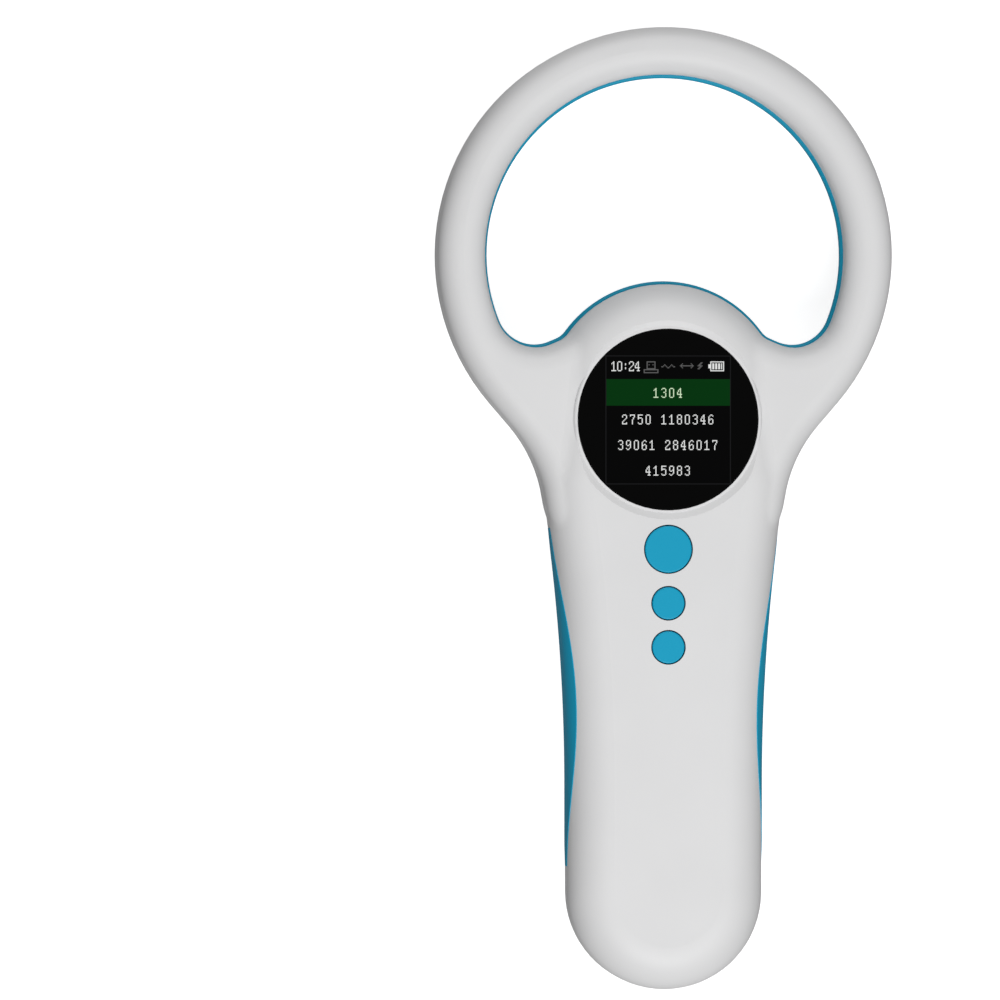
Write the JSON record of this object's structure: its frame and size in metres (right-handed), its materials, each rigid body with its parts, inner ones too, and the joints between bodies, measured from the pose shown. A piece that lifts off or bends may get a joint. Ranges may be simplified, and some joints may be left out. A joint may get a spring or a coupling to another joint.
{
  "type": "microchip scanner",
  "caption": "Handheld veterinary microchip scanner: ring antenna on a flat handle with a round display, push buttons, side grips, rear screws and a USB-C inlet.",
  "frame": {"origin": "centre of the scanner's outline on the plane its feet stand on, half way along its length", "axes": "+X across the handle to the right seen from the front, +Y along it towards the ring, +Z out of the display face"},
  "size_m": [0.0946, 0.2, 0.024],
  "materials": {
    "case_white": "fine satin texture, off-white",
    "soft_blue": "satin soft-touch blue",
    "button_blue": "satin blue",
    "window_black": "polished black",
    "adhesive_foam": "matte black foam",
    "foot_rubber": "matte dark grey rubber",
    "lcd_dark": "dark polished",
    "backlight_white": "milky white",
    "frame_black": "fine matte",
    "flex_amber": "amber film",
    "board_green": "solder mask, semi-gloss",
    "chip_black": "moulded epoxy",
    "steel": "satin",
    "copper": "enamelled copper winding",
    "bobbin_grey": "moulded",
    "connector_cream": "moulded",
    "wire_red": "satin insulation",
    "battery_wrap": "silver film",
    "label_silver": "blank satin film"
  },
  "bodies": {
    "case": {"front_shell": "case_white", "rear_shell": "case_white", "opening_trim": "soft_blue", "left_grip": "soft_blue", "right_grip": "soft_blue", "rear_label": "label_silver", "rest_feet": "foot_rubber", "display_window": "window_black", "window_tape": "adhesive_foam", "lcd_panel": "lcd_dark", "lcd_backlight": "backlight_white", "lcd_frame": "frame_black", "lcd_flex": "flex_amber", "lcd_socket": "connector_cream", "switch_bodies": "steel", "main_board": "board_green", "controller_chip": "chip_black", "reader_chip": "chip_black", "memory_chip": "chip_black", "radio_module": "board_green", "radio_shield": "steel", "buzzer": "chip_black", "charge_board": "board_green", "charger_chip": "chip_black", "usb_c_shell": "steel", "usb_c_tongue": "frame_black", "antenna_bobbin": "bobbin_grey", "antenna_coil": "copper", "antenna_leads": "copper", "battery_cell": "battery_wrap", "battery_pad": "adhesive_foam", "battery_plug": "connector_cream", "battery_socket": "connector_cream", "battery_leads": "wire_red", "charge_leads": "wire_red", "housing_screws": "steel", "board_screws": "steel", "charge_screws": "steel"},
    "scan_key": {"scan_button": "button_blue", "scan_plunger": "frame_black"},
    "up_key": {"up_button": "button_blue", "up_plunger": "frame_black"},
    "down_key": {"down_button": "button_blue", "down_plunger": "frame_black"}
  },
  "joints": [
    {"name": "scan_press", "type": "slide", "parent": "case", "child": "scan_key", "axis": [0, 0, -1], "range_m": [0, 0.0004], "stiffness_N_per_m": 4000},
    {"name": "up_press", "type": "slide", "parent": "case", "child": "up_key", "axis": [0, 0, -1], "range_m": [0, 0.0004], "stiffness_N_per_m": 4000},
    {"name": "down_press", "type": "slide", "parent": "case", "child": "down_key", "axis": [0, 0, -1], "range_m": [0, 0.0004], "stiffness_N_per_m": 4000}
  ]
}
